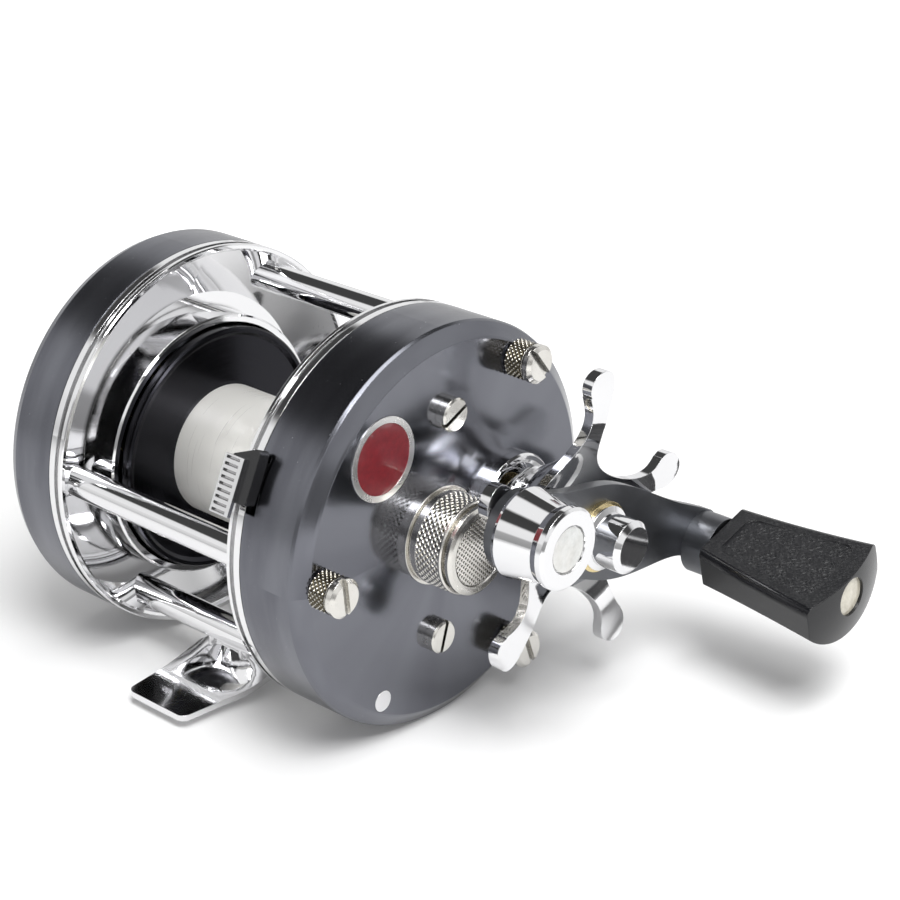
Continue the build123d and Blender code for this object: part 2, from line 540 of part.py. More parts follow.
RATCHET_T, RATCHET_TEETH = 0.9, 12
RATCHET_R, RATCHET_ROOT = 8.2, 6.8
with BuildPart() as ratchet_wheel:
    with BuildSketch(across(RATCHET_X, DRIVE_Y, DRIVE_Z)):
        with BuildLine():
            corners = []
            for k in range(RATCHET_TEETH):
                corners += [polar(RATCHET_R, 360 / RATCHET_TEETH * k), polar(RATCHET_ROOT, 360 / RATCHET_TEETH * k + 3)]
            Polyline(*corners, close=True)
        make_face()
        Circle(GEAR_SHAFT_R, mode=Mode.SUBTRACT)
    extrude(amount=RATCHET_T)
save(ratchet_wheel, "ratchet_wheel")

with BuildPart() as drag_washers:
    tube(GEAR_X + GEAR_T, GEAR_X + GEAR_T + 0.4, 8.0, GEAR_SHAFT_R, DRIVE_Y, DRIVE_Z)
    tube(RATCHET_X + RATCHET_T, RATCHET_X + RATCHET_T + 0.5, 6.4, GEAR_SHAFT_R, DRIVE_Y, DRIVE_Z)
save(drag_washers, "drag_washers")
with BuildPart() as pressure_plates:
    tube(GEAR_X + GEAR_T + 0.4, RATCHET_X, 7.4, GEAR_SHAFT_R, DRIVE_Y, DRIVE_Z)
    tube(RATCHET_X + RATCHET_T + 0.5, SHOULDER_X, 5.6, GEAR_SHAFT_R, DRIVE_Y, DRIVE_Z)
save(pressure_plates, "pressure_plates")

# The dog stands clear of the ratchet while the handle winds, and swings in to hook behind a tooth.
DOG_AIM, DOG_HUB_R = 202, 1.9
with BuildPart() as ratchet_dog:
    with BuildSketch(Plane(origin=(RATCHET_X + 0.05, DOG_Y, PLATE_Z + DOG_Z),
                           x_dir=(0, *polar(1, DOG_AIM)), z_dir=(1, 0, 0))):
        Circle(DOG_HUB_R)
        with BuildLine():
            Polyline((0, DOG_HUB_R), (11.4, -1.2), (12.25, -0.1), (12.75, -1.2), (11.9, -2.3), (0, -DOG_HUB_R),
                     close=True)
        make_face()
        Circle(DOG_POST_R + FIT, mode=Mode.SUBTRACT)
    extrude(amount=RATCHET_T - 0.1)
save(ratchet_dog, "ratchet_dog")

# ================================================================ drive shaft, star and handle
NOSE_X, NOSE_R = FRONT + 5.1, 2.2     # threaded end, inside the handle nut
with BuildPart() as drive_shaft:
    turn([(BRIDGE_X - 0.3, 0), (BRIDGE_X - 0.3, GEAR_SHAFT_R), (SHOULDER_X, GEAR_SHAFT_R), (SHOULDER_X, SHAFT_R),
          (ARM_BACK, SHAFT_R), (ARM_BACK, NOSE_R), (NOSE_X - 0.2, NOSE_R), (NOSE_X, NOSE_R - 0.3), (NOSE_X, 0)],
         DRIVE_Y, DRIVE_Z)
save(drive_shaft, "drive_shaft")

STAR_X = COLLAR_X + 0.4       # rear of the star's hub
STAR_RIM = COLLAR_X + 13.4    # front of the arms' tips
STAR_HUB_R, STAR_HUB_END = 5.6, STAR_RIM - 6.4
STAR_TIP = 2.9                # radius of each rounded tip
STAR_GAP_R, STAR_GAP_D = 10.35, 20.65     # round cut-outs between the arms
STAR_FRONT = ((-6.4, 4.0), (-3.8, 8.7), (-1.3, 13.6), (-0.3, 18.3), (-0.7, 22.3), (0, STAR_TIP_R + 1))
STAR_BACK = ((-1.9, STAR_TIP_R + 1), (-2.5, 22.3), (-2.0, 18.3), (-3.0, 13.6), (-5.8, 8.3), (-9.2, 5.0))
with BuildPart() as star_wheel:
    with BuildSketch(Plane(origin=(STAR_RIM, DRIVE_Y, PLATE_Z + DRIVE_Z), x_dir=(1, 0, 0), z_dir=(0, -1, 0))) as dish:
        with BuildLine():
            front = Spline(*STAR_FRONT)
            Line(front @ 1, STAR_BACK[0])
            back = Spline(*STAR_BACK)
            Polyline(back @ 1, (STAR_BACK[-1][0], STAR_FRONT[0][1]), front @ 0)
        make_face()
    revolve(dish.sketch, axis=Axis((0, DRIVE_Y, PLATE_Z + DRIVE_Z), (1, 0, 0)))
    with BuildSketch(across(STAR_X, DRIVE_Y, DRIVE_Z)) as plan:
        Circle(STAR_TIP_R - STAR_TIP - 1.2)
        with PolarLocations(STAR_GAP_D, STAR_ARMS, start_angle=STAR_ANGLE + 180 / STAR_ARMS):
            Circle(STAR_GAP_R, mode=Mode.SUBTRACT)
        with PolarLocations(STAR_TIP_R - STAR_TIP, STAR_ARMS, start_angle=STAR_ANGLE):
            Circle(STAR_TIP)
    extrude(plan.sketch, amount=STAR_RIM - STAR_X + 1, mode=Mode.INTERSECT)
    rod(STAR_X, STAR_HUB_END, STAR_HUB_R, DRIVE_Y, DRIVE_Z)
    rod(STAR_X - 1, STAR_RIM + 1, SHAFT_R + FIT, DRIVE_Y, DRIVE_Z, mode=Mode.SUBTRACT)
save(star_wheel, "star_wheel")

with BuildPart() as handle_sleeve:
    tube(STAR_HUB_END + 0.4, ARM_BACK, 3.8, SHAFT_R, DRIVE_Y, DRIVE_Z)
save(handle_sleeve, "handle_sleeve")

SPINDLE_R = 1.6
ARM_FRAME = Plane(origin=(0, DRIVE_Y, PLATE_Z + DRIVE_Z), x_dir=(0, *polar(1, ARM_ANGLE)), z_dir=(1, 0, 0))
# Edges of the arm, seen from outside, as distances from the drive axis along and across it.
WEIGHT_END = ((-WEIGHT_D, -6.2), (-WEIGHT_D - 6.2, 0), (-WEIGHT_D, 6.2))
ARM_UPPER = ((-WEIGHT_D, 6.2), (-13.0, 6.2), (-0.7, 8.2), (9.3, 7.7), (20.4, 6.1), (KNOB_D, 5.4))
ARM_LOWER = ((-WEIGHT_D, -6.2), (-13.0, -6.2), (-0.5, -7.1), (6.5, -7.0), (15.5, -4.9), (24.7, -2.7), (KNOB_D, -2.9))
with BuildPart() as handle_arm:
    with BuildSketch(ARM_FRAME.offset(ARM_BACK)):
        with BuildLine():
            ThreePointArc(*WEIGHT_END)
            Spline(*ARM_UPPER, tangents=[(1, 0), (1, -0.1)])
            ThreePointArc(ARM_UPPER[-1], (KNOB_D + 4.3, 1.2), ARM_LOWER[-1])
            Spline(*ARM_LOWER, tangents=[(1, 0), (1, 0)])
        make_face()
    extrude(amount=ARM_T)
    rod(ARM_BACK - 2, FRONT + 2, NOSE_R, DRIVE_Y, DRIVE_Z, mode=Mode.SUBTRACT)
    for y, z in ((KNOB_Y, KNOB_Z), (WEIGHT_Y, WEIGHT_Z)):
        rod(ARM_BACK - 2, FRONT + 2, SPINDLE_R, y, z, mode=Mode.SUBTRACT)
save(handle_arm, "handle_arm")

NUT_TIP = FRONT + 6.9
with BuildPart() as handle_washer:
    tube(FRONT, FRONT + 0.8, 5.7, NOSE_R, DRIVE_Y, DRIVE_Z)
save(handle_washer, "handle_washer")
with BuildPart() as handle_nut:
    turn([(FRONT + 0.8, NOSE_R), (FRONT + 0.8, 5.2), (FRONT + 1.5, 5.2), (FRONT + 1.9, 4.3), (NUT_TIP - 0.8, 4.3),
          (NUT_TIP, 3.5), (NUT_TIP, 0), (NOSE_X, 0), (NOSE_X, NOSE_R)], DRIVE_Y, DRIVE_Z)
save(handle_nut, "handle_nut")

WEIGHT_TIP = FRONT + 9.0
with BuildPart() as counterweight:
    turn([(FRONT, 0), (FRONT, 7.0), (FRONT + 0.5, 7.1), (WEIGHT_TIP - 2.5, 6.0), (WEIGHT_TIP - 1.3, 6.4), (WEIGHT_TIP - 0.4, 6.4),
          (WEIGHT_TIP, 6.0), (WEIGHT_TIP, 3.8), (WEIGHT_TIP - 0.6, 3.6), (WEIGHT_TIP - 0.6, 0)], WEIGHT_Y, WEIGHT_Z)
    rod(ARM_BACK, FRONT, SPINDLE_R, WEIGHT_Y, WEIGHT_Z)
save(counterweight, "counterweight")
with BuildPart() as counterweight_disc:
    rod(WEIGHT_TIP - 0.6, WEIGHT_TIP - 0.2, 3.5, WEIGHT_Y, WEIGHT_Z)
save(counterweight_disc, "counterweight_disc")

SPACER_END = GRIP_IN - 0.3
with BuildPart() as knob_spindle:
    rod(ARM_BACK - 0.5, GRIP_OUT - 3.6, SPINDLE_R, KNOB_Y, KNOB_Z)
    rod(GRIP_OUT - 3.6, GRIP_OUT - 2.7, 2.6, KNOB_Y, KNOB_Z)
    tube(FRONT, SPACER_END, 5.2, SPINDLE_R, KNOB_Y, KNOB_Z)
    rod(ARM_BACK - 0.8, ARM_BACK, 2.6, KNOB_Y, KNOB_Z)
save(knob_spindle, "knob_spindle")

# The grip has a flat thumb face and a rounded belly, and widens to its domed end.
GRIP_TILT, GRIP_EDGE = 15, 1.4


def grip_plane(x):
    return Plane(origin=(x, KNOB_Y, PLATE_Z + KNOB_Z), x_dir=(0, *polar(1, GRIP_TILT)), z_dir=(1, 0, 0))


def grip_section(x, half, top, side, belly):
    """D-shaped section of the grip at x, with rounded edges along the thumb face."""
    turn_in = GRIP_EDGE * (1 - sqrt(0.5))
    with BuildSketch(grip_plane(x)) as section:
        with BuildLine():
            Line((half - GRIP_EDGE, top), (-half + GRIP_EDGE, top))
            ThreePointArc((-half + GRIP_EDGE, top), (-half + turn_in, top - turn_in), (-half, top - GRIP_EDGE))
            Line((-half, top - GRIP_EDGE), (-half, -side))
            ThreePointArc((-half, -side), (0, -belly), (half, -side))
            Line((half, -side), (half, top - GRIP_EDGE))
            ThreePointArc((half, top - GRIP_EDGE), (half - turn_in, top - turn_in), (half - GRIP_EDGE, top))
        make_face()
    return section.sketch


GRIP_ROOT = (6.6, 4.5, 2.4, 5.3)          # half width, top, side and belly where the grip begins
GRIP_WAIST = (7.7, 3.9, 2.2, 6.2)         # a third of the way along
GRIP_END = (10.1, 3.6, 2.3, 7.3)
PANEL_BORDER, PANEL_DEPTH = 2.4, 0.35     # grained thumb panel, let into the flat face
with BuildPart() as grip:
    loft([grip_section(x, *row) for x, row in
          ((GRIP_IN, GRIP_ROOT), (GRIP_IN + GRIP_L * 0.33, GRIP_WAIST), (GRIP_OUT, GRIP_END))])
    with BuildSketch(Plane(origin=(0, KNOB_Y, PLATE_Z + KNOB_Z), x_dir=(1, 0, 0), z_dir=(0, -1, 0))) as ball:
        with BuildLine():
            end = ThreePointArc((GRIP_OUT, 0), (GRIP_OUT - 0.5, 5.2), (GRIP_OUT - 2.6, 12))
            Polyline(end @ 1, (GRIP_IN - 5, 12), (GRIP_IN - 5, 0), end @ 0)
        make_face()
    revolve(ball.sketch, axis=Axis((0, KNOB_Y, PLATE_Z + KNOB_Z), (1, 0, 0)), mode=Mode.INTERSECT)
    rod(GRIP_IN - 1, GRIP_OUT - 3, SPINDLE_R + FIT, KNOB_Y, KNOB_Z, mode=Mode.SUBTRACT)
    rod(GRIP_OUT - 3.8, GRIP_OUT + 1, 3.2, KNOB_Y, KNOB_Z, mode=Mode.SUBTRACT)
    half, top = GRIP_ROOT[:2]
    end_half, end_top = GRIP_END[:2]
    panel_x = (GRIP_IN + PANEL_BORDER, GRIP_OUT - PANEL_BORDER - 1.1)
    slope = (end_top - top) / GRIP_L
    thumb_face = Plane(origin=grip_plane(GRIP_IN).from_local_coords((0, top - PANEL_DEPTH, 0)),
                       x_dir=(0, *polar(1, GRIP_TILT)), z_dir=(-slope, *polar(1, GRIP_TILT + 90)))
    with BuildSketch(thumb_face) as panel:
        flare = (end_half - half) / GRIP_L
        with BuildLine():
            corners = []
            for x in panel_x:
                wide = half + flare * (x - GRIP_IN) - PANEL_BORDER
                corners.append((wide, GRIP_IN - x))
                corners.append((-wide, GRIP_IN - x))
            Polyline(corners[0], corners[1], corners[3], corners[2], close=True)
        make_face()
        fillet(panel.vertices(), 1.8)
    extrude(panel.sketch, amount=2, mode=Mode.SUBTRACT)
save(grip, "grip")
with BuildPart() as grip_cap:
    rod(GRIP_OUT - 1.5, GRIP_OUT - 0.7, 3.2, KNOB_Y, KNOB_Z)
save(grip_cap, "grip_cap")

# ================================================================ hand controls
CAP_X = FACE_X + 0.35
CAP_END, DISC_X, DISC_END = FACE_X + 5.2, FACE_X + 5.7, FACE_X + 8.5
CAP_BAND = (CAP_X + 0.75, CAP_END - 0.75)     # the knurled band between the cap's plain ends
with BuildPart() as tension_cap:
    turn([(CAP_X, CAP_COLLAR_R + FIT), (CAP_X, CAP_R - 0.3), (CAP_X + 0.3, CAP_R), (CAP_BAND[0], CAP_R),
          (CAP_BAND[0], CAP_R - KNURL_DEPTH), (CAP_BAND[1], CAP_R - KNURL_DEPTH), (CAP_BAND[1], CAP_R),
          (CAP_END - 0.3, CAP_R), (CAP_END, CAP_R - 0.3), (CAP_END, 6.3), (DISC_X, 6.3), (DISC_X, 0),
          (DISC_X - 1.1, 0), (DISC_X - 1.1, CAP_COLLAR_R + FIT)], SPOOL_Y)
save(tension_cap, "tension_cap")
with BuildPart() as tension_cap_disc:
    turn([(DISC_X, 0), (DISC_X, 6.9), (DISC_X + 0.2, 7.05), (DISC_END - 0.7, 7.05), (DISC_END, 6.5), (DISC_END, 5.8),
          (DISC_END - 0.3, 5.6), (DISC_END - 0.3, 0)], SPOOL_Y)
save(tension_cap_disc, "tension_cap_disc")
with BuildPart() as tension_pad:
    rod(DISC_X - 3.0, DISC_X - 1.1, 1.4, SPOOL_Y)
save(tension_pad, "tension_pad")

NECK_X = SCREW_TIP - 1.6      # the neck between the knurled barrel and the head
for (name, angle), turned_to in zip(SCREW_AT.items(), (128, 96, 110)):
    y, z = polar(PILLAR_PCR, angle)
    with BuildPart() as thumb_screw:
        rod(PILLAR_END - SCREW_DEPTH + 1, FACE_X + 0.5, SHANK_R, y, z)
        turn([(FACE_X + 0.1, 0), (FACE_X + 0.1, 2.6), (FACE_X + 0.4, 2.9), (NECK_X - 0.2, 2.9), (NECK_X, 2.6),
              (NECK_X + 0.2, SCREW_HEAD_R), (SCREW_TIP - 0.5, SCREW_HEAD_R), (SCREW_TIP, 2.5), (SCREW_TIP, 0)], y, z)
        with BuildSketch(across(SCREW_TIP - 0.9, y, z)) as slot:
            Rectangle(8, 1.1, rotation=turned_to)
        extrude(slot.sketch, amount=2, mode=Mode.SUBTRACT)
    save(thumb_screw, name)

# Thumb button: it slides down the rim and draws the clutch yoke outwards through its stem.
BUTTON_TRAVEL = 3.0
BUTTON_UP = polar(1, BUTTON_ANGLE)
BUTTON_FRAME = Plane(origin=(0, 0, PLATE_Z), x_dir=(1, 0, 0), z_dir=(0, *BUTTON_UP))   # y runs up the rim
BASE_R = PLATE_R + 0.35       # the button slides this far off the rim
BASE_TOP, PAD_TOP = BASE_R + 2.05, BASE_R + 2.75
BASE_OUTLINE = ((RING_IN - 0.2, -3.4), (RING_IN + 5.0, -3.2), (RING_IN + 5.0, 5.6), (RING_IN - 0.2, 3.4))
PAD_X, PAD_Y = (RING_IN - 0.9, RING_IN + 2.9), (-5.65, 3.35)
STEM_X, STEM_Y = CUP_IN + 0.55, (-1.2, 3.4)       # the stem reaches through the slot in the cup's wall
STEM_IN = BORE_R - 2.8
ARM_END_X = YOKE_X - 2.35


def block(x_span, y_span, z_span, mode=Mode.ADD):
    """Box given by its spans in the thumb button's own frame."""
    spans = (x_span, y_span, z_span)
    centre = BUTTON_FRAME.from_local_coords(tuple(sum(s) / 2 for s in spans))
    with Locations(Plane(origin=centre, x_dir=BUTTON_FRAME.x_dir, z_dir=BUTTON_FRAME.z_dir)):
        Box(*[abs(s[1] - s[0]) for s in spans], mode=mode)


with BuildPart() as button_slide:
    with BuildSketch(BUTTON_FRAME.offset(BASE_R)) as outline:
        with BuildLine():
            Polyline(*BASE_OUTLINE, close=True)
        make_face()
        fillet(outline.vertices(), 0.7)
    extrude(amount=BASE_TOP - BASE_R)
    block((STEM_X, STEM_X + 0.8), STEM_Y, (STEM_IN, BASE_R))
    block((STEM_X, ARM_END_X), STEM_Y, (STEM_IN - 0.2, STEM_IN + 0.7))
    block((ARM_END_X - 0.9, ARM_END_X), STEM_Y, (12.9, STEM_IN - 0.2))
    block((ARM_END_X, ARM_END_X + 1.9), (-1.2, 0.6), (12.9, 14.2))
save(button_slide, "button_slide")

RIDGES = 9
with BuildPart() as button_pad:
    block(PAD_X, PAD_Y, (BASE_TOP, PAD_TOP))
    pitch = (PAD_Y[1] - PAD_Y[0]) / RIDGES
    for k in range(RIDGES):
        middle = PAD_Y[0] + pitch * (k + 0.5)
        block((PAD_X[0] + 0.35, PAD_X[1] - 0.7), (middle - 0.22, middle + 0.22), (PAD_TOP - 0.45, PAD_TOP + 1),
              mode=Mode.SUBTRACT)
save(button_pad, "button_pad")
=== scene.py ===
"""Looks of the round baitcasting reel: metal finishes, knurling, grip grain, floor, light and camera.

Blender metres. X runs along the spool axle with the handle on the +X side, Y points forwards and
Z up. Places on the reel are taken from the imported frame.
"""
import bpy
import math
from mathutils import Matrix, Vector, noise as field


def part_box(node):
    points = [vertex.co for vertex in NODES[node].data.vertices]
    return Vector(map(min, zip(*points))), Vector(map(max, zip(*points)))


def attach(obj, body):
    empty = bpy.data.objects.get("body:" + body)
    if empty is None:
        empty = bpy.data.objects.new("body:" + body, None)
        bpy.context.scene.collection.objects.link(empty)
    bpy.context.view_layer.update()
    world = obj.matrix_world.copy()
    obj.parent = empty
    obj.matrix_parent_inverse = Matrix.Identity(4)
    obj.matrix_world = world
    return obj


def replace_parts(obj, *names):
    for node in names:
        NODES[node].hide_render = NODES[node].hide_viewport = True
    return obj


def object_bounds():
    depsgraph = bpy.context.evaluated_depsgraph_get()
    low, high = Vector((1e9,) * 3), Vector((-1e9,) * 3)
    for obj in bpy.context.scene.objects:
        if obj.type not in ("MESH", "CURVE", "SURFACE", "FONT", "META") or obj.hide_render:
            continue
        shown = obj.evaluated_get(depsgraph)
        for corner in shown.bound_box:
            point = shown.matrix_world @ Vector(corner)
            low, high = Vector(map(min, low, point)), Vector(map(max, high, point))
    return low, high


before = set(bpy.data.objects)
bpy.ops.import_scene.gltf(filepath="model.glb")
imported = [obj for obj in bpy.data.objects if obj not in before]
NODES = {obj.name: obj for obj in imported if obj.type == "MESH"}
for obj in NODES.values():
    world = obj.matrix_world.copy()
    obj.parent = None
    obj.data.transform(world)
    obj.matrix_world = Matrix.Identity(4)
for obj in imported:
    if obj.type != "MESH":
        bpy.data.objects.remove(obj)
CAD_LOW, CAD_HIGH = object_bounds()
MM = 0.001


def middle(name):
    """Middle of a CAD node's box."""
    low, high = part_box(name)
    return (low + high) / 2


def direction(azimuth, elevation):
    """Unit vector away from the reel, in degrees: azimuth from -Y towards +X, elevation upwards."""
    azimuth, elevation = math.radians(azimuth), math.radians(elevation)
    return Vector((math.sin(azimuth) * math.cos(elevation),
                   -math.cos(azimuth) * math.cos(elevation),
                   math.sin(elevation)))


# ---------------------------------------------------------------- camera
VIEW_AZIMUTH, VIEW_ELEVATION = 41.65, 24.58
CAMERA_PLACE = Vector((241.0, -232.4, 187.2)) * MM
CAMERA_LENS = 89.9
CLIP_START, CLIP_END = 0.01, 20.0

camera = bpy.data.objects.new("camera", bpy.data.cameras.new("camera"))
bpy.context.scene.collection.objects.link(camera)
camera.location = CAMERA_PLACE
camera.rotation_mode = "QUATERNION"
camera.rotation_quaternion = (-direction(VIEW_AZIMUTH, VIEW_ELEVATION)).to_track_quat("-Z", "Y")
camera.data.lens = CAMERA_LENS
camera.data.clip_start = CLIP_START
camera.data.clip_end = CLIP_END
bpy.context.scene.camera = camera
bpy.context.scene.view_settings.view_transform = "Standard"


# ---------------------------------------------------------------- node helpers
def node(tree, kind, inputs=None, **settings):
    """Adds a shader node. Inputs are numbers, colours or sockets of other nodes."""
    made = tree.nodes.new(kind)
    for name, value in settings.items():
        setattr(made, name, value)
    for name, value in (inputs or {}).items():
        if isinstance(value, bpy.types.NodeSocket):
            tree.links.new(value, made.inputs[name])
        else:
            made.inputs[name].default_value = value
    return made


def maths(tree, operation, first, second=0.0, clamp=False):
    made = node(tree, "ShaderNodeMath", {0: first, 1: second}, operation=operation)
    made.use_clamp = clamp
    return made.outputs[0]


def ramp(tree, value, low, high, start=0.0, end=1.0):
    """value mapped from low..high to start..end, held at the ends."""
    made = node(tree, "ShaderNodeMapRange", {"Value": value, "From Min": low, "From Max": high,
                                             "To Min": start, "To Max": end})
    return made.outputs["Result"]


def mixed(tree, factor, first, second):
    made = node(tree, "ShaderNodeMix", {"Factor": factor, "A": first, "B": second}, data_type="RGBA")
    return made.outputs["Result"]


def place(tree):
    """A point's place in the object's own metres, which rides with its body."""
    return node(tree, "ShaderNodeTexCoord").outputs["Object"]


def split_place(tree):
    """The same place as its three numbers."""
    return node(tree, "ShaderNodeSeparateXYZ", {0: place(tree)}).outputs


def noise(tree, vector, scale, detail=2.0, roughness=0.5):
    made = node(tree, "ShaderNodeTexNoise",
                {"Vector": vector, "Scale": scale, "Detail": detail, "Roughness": roughness})
    return made.outputs["Fac"]


def vector_maths(tree, operation, first, second):
    return node(tree, "ShaderNodeVectorMath", {0: first, 1: second}, operation=operation).outputs


def round_place(tree, y, z, lengthwise, around, outwards):
    """Place about the line along X through y, z: metres along, radians round and metres outwards,
    each times its factor, for a noise to read. The plain radius comes with it."""
    x_at, y_at, z_at = split_place(tree)
    dy = maths(tree, "SUBTRACT", y_at, y)
    dz = maths(tree, "SUBTRACT", z_at, z)
    radius = maths(tree, "SQRT", maths(tree, "ADD", maths(tree, "MULTIPLY", dy, dy),
                                       maths(tree, "MULTIPLY", dz, dz)))
    angle = maths(tree, "ARCTAN2", dz, dy)
    joined = node(tree, "ShaderNodeCombineXYZ", {
        0: maths(tree, "MULTIPLY", x_at, lengthwise),
        1: maths(tree, "MULTIPLY", angle, around),
        2: maths(tree, "MULTIPLY", radius, outwards)})
    return joined.outputs[0], radius


def material(name, **values):
    """New material with its Principled BSDF set. Returns the material, its tree and the shader."""
    made = bpy.data.materials.new(name)
    made.use_nodes = True
    shader = made.node_tree.nodes["Principled BSDF"]
    for key, value in values.items():
        shader.inputs[key.replace("_", " ")].default_value = value
    return made, made.node_tree, shader


def feed(tree, shader, **sockets):
    for key, socket in sockets.items():
        tree.links.new(socket, shader.inputs[key.replace("_", " ")])


def bump(tree, height, distance, strength, normal):
    return node(tree, "ShaderNodeBump", {"Height": height, "Distance": distance, "Strength": strength,
                                         "Normal": normal}).outputs[0]


def soft_edges(tree, radius):
    return node(tree, "ShaderNodeBevel", {"Radius": radius}, samples=4).outputs[0]


# ---------------------------------------------------------------- finishes
EDGE = 0.12 * MM                        # how far a machined edge is broken
INLAY_EDGE = 0.05 * MM
CUP_EDGE = 0.2 * MM
MOULDED_EDGE = 0.25 * MM
PIT = "pit"                             # attribute of knurled pieces: 1 in a pit, 0 on the ridges
# painted shade for the knurls' pits, with a warm tint
PIT_SHADE = (0.080, 0.066, 0.034, 1)
# painted shade, laid into creases and narrow gaps where occlusion finds them
CREASE_SHADE = (0.02, 0.018, 0.015, 1)
CREASE_REACH = 1.0 * MM
CELL_WANDER = 0.5 * MM                  # how far the grip's cells are bent
CROWN_LEVEL = CAD_LOW.z + 1.4 * MM      # just under the foot: only the rings' lowest arcs lie below it
CROWN_RADIUS = 38 * MM
CROWN_FADE = 0.2 * MM
DULLING_REACH = 2 * MM                  # chrome is rougher up to here above it, so on the foot's tongues
RIM_START, RIM_FULL = 32.2 * MM, 32.8 * MM          # radii between which a cup's face turns into its rim
NICK_START, NICK_FULL = 30.0 * MM, 31.8 * MM        # radii between which nicks come in


def creases(tree, reach):
    """1 in the open, falling towards 0 in pits and narrow gaps of the same piece."""
    made = node(tree, "ShaderNodeAmbientOcclusion", {"Distance": reach}, samples=4, only_local=True)
    return made.outputs["AO"]


def crown(tree):
    """Height of a slight crown across X, which ends just above CROWN_LEVEL."""
    x_at, _, z_at = split_place(tree)
    fall = maths(tree, "MULTIPLY", maths(tree, "MULTIPLY", x_at, x_at), -0.5 / CROWN_RADIUS)
    return maths(tree, "MULTIPLY", fall, ramp(tree, z_at, CROWN_LEVEL, CROWN_LEVEL + CROWN_FADE, 1.0, 0.0))


def bright_metal(name, colour, roughness, wander, edge=EDGE, haze=0.0, painted_shade=0.0, crowned=False):
    """Plated or polished metal: drifting roughness, a few hairline scratches, and painted shade in its
    creases and in the pits of its knurling.
    crowned adds the shading that hangs on CROWN_LEVEL."""
    made, tree, shader = material(name, Base_Color=(*colour, 1), Metallic=1.0)
    at = place(tree)
    patches = noise(tree, at, scale=130.0, detail=4.0, roughness=0.6)
    stretched = vector_maths(tree, "MULTIPLY", at, (900.0, 6000.0, 900.0))[0]
    hairs = noise(tree, stretched, scale=1.0, detail=1.0)
    marks = maths(tree, "MULTIPLY", ramp(tree, hairs, 0.68, 0.74), 0.10)
    rough = maths(tree, "ADD", ramp(tree, patches, 0.35, 0.7, roughness, roughness + wander), marks)
    hazed = (colour[0] * 0.72, colour[1] * 0.70, colour[2] * 0.66, 1)
    tone_and_shade = mixed(tree, ramp(tree, patches, 0.4, 0.75, 0.0, haze), (*colour, 1), hazed)
    # Painted shade: darker in creases and narrow gaps found by occlusion, and darker still in the knurls'
    # pits.
    if painted_shade:
        open_part = ramp(tree, creases(tree, CREASE_REACH), 0.30, 0.75, 1.0 - painted_shade, 1.0)
        sunk = node(tree, "ShaderNodeAttribute", attribute_name=PIT).outputs["Fac"]
        tone_and_shade = mixed(tree, open_part, CREASE_SHADE, tone_and_shade)
        tone_and_shade = mixed(tree, ramp(tree, sunk, 0.25, 0.6, 0.0, 0.97), tone_and_shade, PIT_SHADE)
    edges = soft_edges(tree, edge)
    if crowned:
        edges = bump(tree, crown(tree), 1.0, 1.0, edges)
        level = split_place(tree)[2]
        worn = ramp(tree, level, CROWN_LEVEL, CROWN_LEVEL + DULLING_REACH, 0.10, 0.0)
        rough = maths(tree, "ADD", rough, worn)
    waves = noise(tree, at, scale=420.0)
    feed(tree, shader, Roughness=rough, Base_Color=tone_and_shade, Normal=bump(tree, waves, 0.004 * MM, 0.5, edges))
    return made


def turned_metal(name, colour, roughness, y, z, groove, metallic=1.0):
    """Lathe-turned metal: fine rings round the line along X through y, z."""
    made, tree, shader = material(name, Base_Color=(*colour, 1), Metallic=metallic, Roughness=roughness)
    rings, _ = round_place(tree, y, z, lengthwise=9000.0, around=0.6, outwards=9000.0)
    lines = noise(tree, rings, scale=1.0)
    feed(tree, shader, Roughness=ramp(tree, lines, 0.3, 0.7, roughness * 0.8, roughness * 1.25),
         Normal=bump(tree, lines, groove, 0.35, soft_edges(tree, EDGE)))
    return made


def anodised(name, y, z):
    """Slate anodised cup: glossy face, rim brushed along its round, a few pale nicks near the edge."""
    colour, lighter, pale = (0.132, 0.135, 0.155, 1), (0.185, 0.190, 0.213, 1), (0.55, 0.55, 0.57, 1)
    made, tree, shader = material(name, Metallic=1.0, Anisotropic=0.4)
    at = place(tree)

    broad, radius = round_place(tree, y, z, lengthwise=160.0, around=0.9, outwards=0.0)
    shade = noise(tree, broad, scale=1.0, detail=3.0, roughness=0.6)
    base = mixed(tree, ramp(tree, shade, 0.35, 0.65), colour, lighter)

    fine, _ = round_place(tree, y, z, lengthwise=5200.0, around=1.1, outwards=0.0)
    brushing = noise(tree, fine, scale=1.0, detail=3.0, roughness=0.6)
    on_rim = ramp(tree, radius, RIM_START, RIM_FULL)
    relief = maths(tree, "MULTIPLY", brushing, on_rim)

    nick_at, _ = round_place(tree, y, z, lengthwise=2600.0, around=26.0, outwards=900.0)
    nicks = ramp(tree, noise(tree, nick_at, scale=1.0, detail=3.0, roughness=0.7), 0.72, 0.75)
    nicks = maths(tree, "MULTIPLY", nicks, ramp(tree, radius, NICK_START, NICK_FULL))
    specks = ramp(tree, noise(tree, at, scale=2600.0, detail=1.0), 0.78, 0.81)
    marked = maths(tree, "MAXIMUM", nicks, maths(tree, "MULTIPLY", specks, 0.3))
    marked = maths(tree, "MULTIPLY", marked, 0.7)

    clouds = noise(tree, at, scale=60.0, detail=3.0)
    face_rough = ramp(tree, clouds, 0.3, 0.7, 0.12, 0.16)
    rough = maths(tree, "ADD", face_rough, maths(tree, "MULTIPLY", on_rim, 0.09))
    rough = maths(tree, "ADD", rough, maths(tree, "MULTIPLY", marked, 0.2), clamp=True)

    tangent = node(tree, "ShaderNodeTangent", direction_type="RADIAL", axis="X").outputs[0]
    feed(tree, shader, Base_Color=mixed(tree, marked, base, pale), Roughness=rough, Tangent=tangent,
         Normal=bump(tree, relief, 0.005 * MM, 0.4, soft_edges(tree, CUP_EDGE)))
    return made


